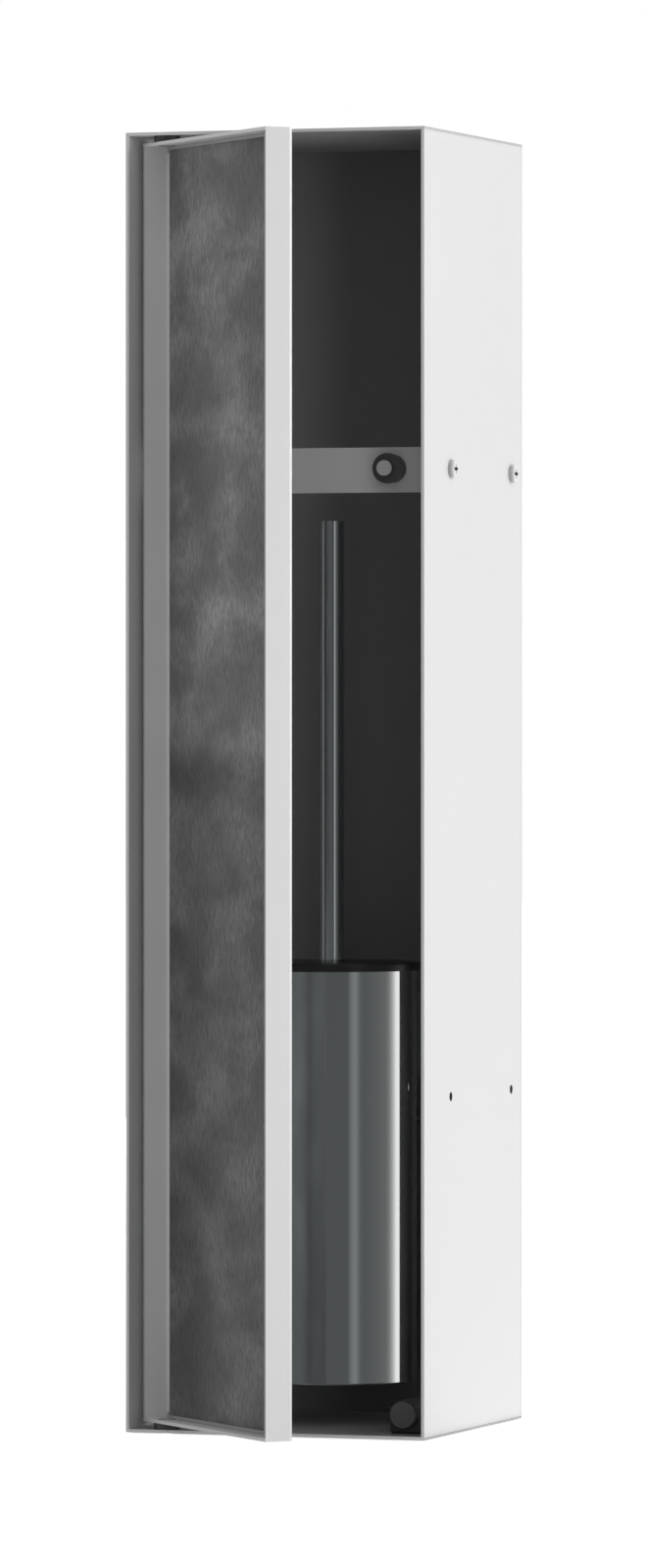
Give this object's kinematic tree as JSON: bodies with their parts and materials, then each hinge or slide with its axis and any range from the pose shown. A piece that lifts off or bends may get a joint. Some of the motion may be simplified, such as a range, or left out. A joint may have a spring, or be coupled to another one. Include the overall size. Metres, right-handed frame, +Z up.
{
  "type": "recessed toilet brush cabinet",
  "caption": "Tall narrow recessed wall cabinet with a pivoting tray door for tiles standing half open on push latches; a polished pot with lid and a slim-handled toilet brush inside",
  "frame": {"origin": "centre of the casing's underside", "axes": "+Z up, the back of the casing faces +Y, the open front faces -Y, the door's pivots are at -X"},
  "size_m": [0.1506, 0.2279, 0.598],
  "materials": {
    "casing_white": "satin white powder coat outside, anthracite shade inside",
    "casing_dark": "satin anthracite coat",
    "brushed_steel": "brushed stainless steel",
    "polished_steel": "mirror-polished stainless steel",
    "zinc_steel": "zinc-plated steel",
    "screw_white": "gloss white heads",
    "black_plastic": "fine matt moulding",
    "lid_plastic": "satin gloss moulding",
    "liner_plastic": "matt moulding",
    "magnet_grey": "plated magnet face",
    "pad_foam": "adhesive foam",
    "spring_steel": "drawn wire",
    "bristle_white": "nylon filament",
    "core_plastic": "grey moulding"
  },
  "bodies": {
    "casing": {"left_side": "casing_white", "right_side": "casing_white", "back_panel": "casing_dark", "top_panel": "casing_white", "bottom_panel": "casing_white", "upper_pivot_pin": "zinc_steel", "lower_pivot_pin": "zinc_steel", "latch_strap": "brushed_steel", "strap_screws": "screw_white", "strap_nuts": "zinc_steel", "upper_latch_body": "black_plastic", "upper_latch_nut": "black_plastic", "upper_latch_cap": "black_plastic", "upper_latch_spring": "spring_steel", "lower_latch_holder": "black_plastic", "latch_holder_pad": "pad_foam", "lower_latch_body": "black_plastic", "lower_latch_cap": "black_plastic", "lower_latch_spring": "spring_steel", "pot_bracket": "brushed_steel", "bracket_studs": "zinc_steel", "bracket_nuts": "zinc_steel"},
    "door": {"door_frame": "casing_white", "door_back_plate": "brushed_steel", "upper_bush": "black_plastic", "lower_bush": "black_plastic"},
    "upper_plunger": {"upper_latch_plunger": "black_plastic", "upper_latch_magnet": "magnet_grey"},
    "lower_plunger": {"lower_latch_plunger": "black_plastic", "lower_latch_magnet": "magnet_grey"},
    "pot": {"pot_shell": "polished_steel", "pot_hanger": "polished_steel", "pot_liner": "liner_plastic"},
    "brush": {"brush_lid": "lid_plastic", "handle_tube": "polished_steel", "handle_cap": "polished_steel", "stem_insert": "zinc_steel", "lid_clamp": "black_plastic", "brush_stem": "zinc_steel", "brush_core": "core_plastic", "bristles": "bristle_white"}
  },
  "joints": [
    {"name": "door_hinge", "type": "hinge", "parent": "casing", "child": "door", "pos_m": [-0.0545, -0.065, 0.299], "axis": [0, 0, -1], "range_deg": [-45.7, 49.3]},
    {"name": "upper_push", "type": "slide", "parent": "casing", "child": "upper_plunger", "axis": [0, 1, 0], "range_m": [0, 0.0025], "stiffness_N_per_m": 400, "springref_m": -0.003, "deforming": ["upper_latch_spring"]},
    {"name": "lower_push", "type": "slide", "parent": "casing", "child": "lower_plunger", "axis": [0, 1, 0], "range_m": [0, 0.0025], "stiffness_N_per_m": 400, "springref_m": -0.003, "deforming": ["lower_latch_spring"]},
    {"name": "pot_lift", "type": "slide", "parent": "casing", "child": "pot", "axis": [0, 0, 1], "range_m": [0, 0.018]},
    {"name": "brush_lift", "type": "slide", "parent": "pot", "child": "brush", "axis": [0, 0, 1], "range_m": [0, 0.15]}
  ]
}
